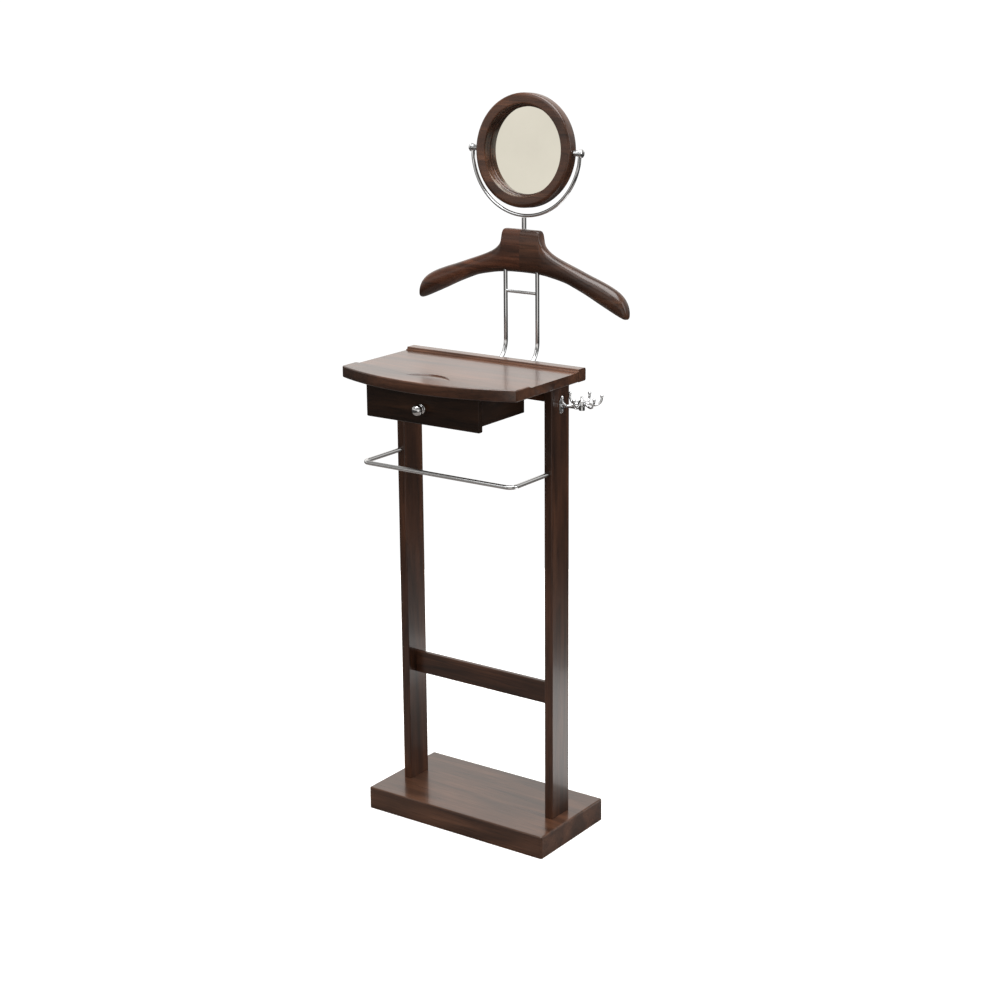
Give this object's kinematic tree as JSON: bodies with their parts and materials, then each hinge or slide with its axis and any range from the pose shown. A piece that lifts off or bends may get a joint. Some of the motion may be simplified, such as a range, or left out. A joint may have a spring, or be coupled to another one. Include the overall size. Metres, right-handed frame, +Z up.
{
  "type": "valet stand",
  "caption": "Free-standing wooden valet stand with a tray and drawer, trouser bar, coat hanger, tilting round mirror and turning hook wheel.",
  "frame": {"origin": "centre of the base board's underside, on the floor", "axes": "+Z up along the stand's height, the drawer and the mirror face -Y, +X is the side with the hook wheel"},
  "size_m": [0.504, 0.3849, 1.4054],
  "materials": {
    "stained_wood": "dark walnut stain under semi-gloss lacquer",
    "drawer_wood": "near-black walnut stain under satin lacquer",
    "chrome": "polished",
    "steel": "zinc plated",
    "silvering": "polished"
  },
  "bodies": {
    "frame": {"base_board": "stained_wood", "left_post": "stained_wood", "right_post": "stained_wood", "lower_rail": "stained_wood", "upper_rail": "stained_wood", "tray_board": "stained_wood", "tray_back_rail": "stained_wood", "case_side_left": "drawer_wood", "case_side_right": "drawer_wood", "case_back": "drawer_wood", "case_runner_left": "drawer_wood", "case_runner_right": "drawer_wood", "trouser_bar": "chrome", "upright_rod_left": "chrome", "upright_rod_right": "chrome", "upright_cross_rod": "chrome", "hanger_left": "stained_wood", "hanger_right": "stained_wood", "mirror_stem": "chrome", "mirror_yoke": "chrome", "hook_bracket": "chrome", "hook_screw_lower": "steel", "hook_screw_upper": "steel"},
    "drawer": {"drawer_front": "drawer_wood", "drawer_side_left": "drawer_wood", "drawer_side_right": "drawer_wood", "drawer_back": "drawer_wood", "drawer_bottom": "drawer_wood", "drawer_knob": "chrome", "drawer_knob_screw": "steel"},
    "mirror": {"mirror_frame": "stained_wood", "mirror_glass": "silvering", "mirror_back": "stained_wood", "mirror_pin_left": "chrome", "mirror_pin_right": "chrome", "mirror_knob_left": "chrome", "mirror_knob_right": "chrome"},
    "hook_wheel": {"hook_hub": "chrome", "hook_prong_1": "chrome", "hook_prong_2": "chrome", "hook_prong_3": "chrome", "hook_prong_4": "chrome", "hook_prong_5": "chrome", "hook_prong_6": "chrome"}
  },
  "joints": [
    {"name": "drawer_slide", "type": "slide", "parent": "frame", "child": "drawer", "axis": [0, -1, 0], "range_m": [0, 0.078]},
    {"name": "mirror_tilt", "type": "hinge", "parent": "frame", "child": "mirror", "pos_m": [0, 0.152, 1.29754], "axis": [1, 0, 0], "continuous": true},
    {"name": "hook_wheel_turn", "type": "hinge", "parent": "frame", "child": "hook_wheel", "pos_m": [0.2257, 0, 0.8655], "axis": [0, 0, 1], "continuous": true}
  ]
}
